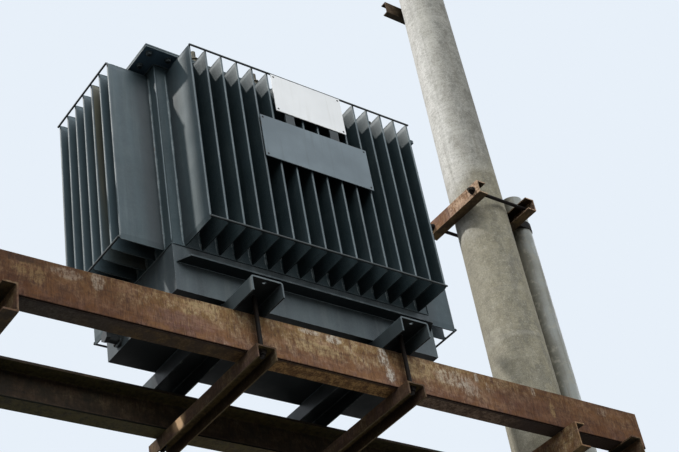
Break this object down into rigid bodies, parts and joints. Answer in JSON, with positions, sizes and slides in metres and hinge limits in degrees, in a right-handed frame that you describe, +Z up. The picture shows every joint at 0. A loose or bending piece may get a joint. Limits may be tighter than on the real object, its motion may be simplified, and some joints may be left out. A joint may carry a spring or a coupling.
{
  "type": "pole mounted transformer",
  "caption": "Distribution transformer with corrugated fin walls on a channel-steel platform clamped between two tapered round concrete poles, with bushings on its cover and a riser pipe.",
  "frame": {"origin": "centre of the right pole's foot, at ground level", "axes": "+X along the platform, away from the left pole; +Y from the low-voltage side to the high-voltage side; +Z up"},
  "size_m": [3.2215, 0.8456, 8.9],
  "materials": {
    "pole_concrete": "matte, weathered",
    "rusty_steel": "matte, rusted",
    "rod_steel": "dull, weathered",
    "pipe_plastic": "matte, dusty",
    "tank_paint": "satin, weathered",
    "gasket_rubber": "matte",
    "insulator_glaze": "gloss",
    "stud_brass": "dull",
    "collar_aluminium": "satin",
    "valve_iron": "satin",
    "white_enamel": "satin",
    "grey_enamel": "satin"
  },
  "bodies": {
    "root": {"right_pole": "pole_concrete", "left_pole": "pole_concrete", "front_beam": "rusty_steel", "rear_beam": "rusty_steel", "right_inner_member": "rusty_steel", "right_outer_member": "rusty_steel", "left_inner_member": "rusty_steel", "left_outer_member": "rusty_steel", "right_clamp_arms": "rusty_steel", "left_clamp_arms": "rusty_steel", "top_brackets": "rusty_steel", "tie_rods": "rod_steel", "clamp_bars": "rusty_steel", "hold_down_rods": "rod_steel", "riser_pipe": "pipe_plastic", "pipe_straps": "rod_steel", "left_skid": "tank_paint", "right_skid": "tank_paint", "tank_base": "tank_paint", "base_flanges": "tank_paint", "front_fin_wall": "tank_paint", "rear_fin_wall": "tank_paint", "left_fin_wall": "tank_paint", "right_fin_wall": "tank_paint", "fin_tie_wires": "tank_paint", "rim_flange": "tank_paint", "cover_gasket": "gasket_rubber", "cover": "tank_paint", "lv_bushing_1": "insulator_glaze", "lv_bushing_2": "insulator_glaze", "lv_bushing_3": "insulator_glaze", "lv_bushing_4": "insulator_glaze", "lv_studs": "stud_brass", "hv_bushing_1": "insulator_glaze", "hv_bushing_2": "insulator_glaze", "hv_bushing_3": "insulator_glaze", "hv_studs": "stud_brass", "bushing_collars": "collar_aluminium", "oil_filler": "tank_paint", "tap_switch": "collar_aluminium", "lifting_lugs": "tank_paint", "drain_valve": "valve_iron", "earth_bosses": "rod_steel", "white_plate": "white_enamel", "grey_plate": "grey_enamel", "plate_holders": "tank_paint"}
  },
  "joints": []
}
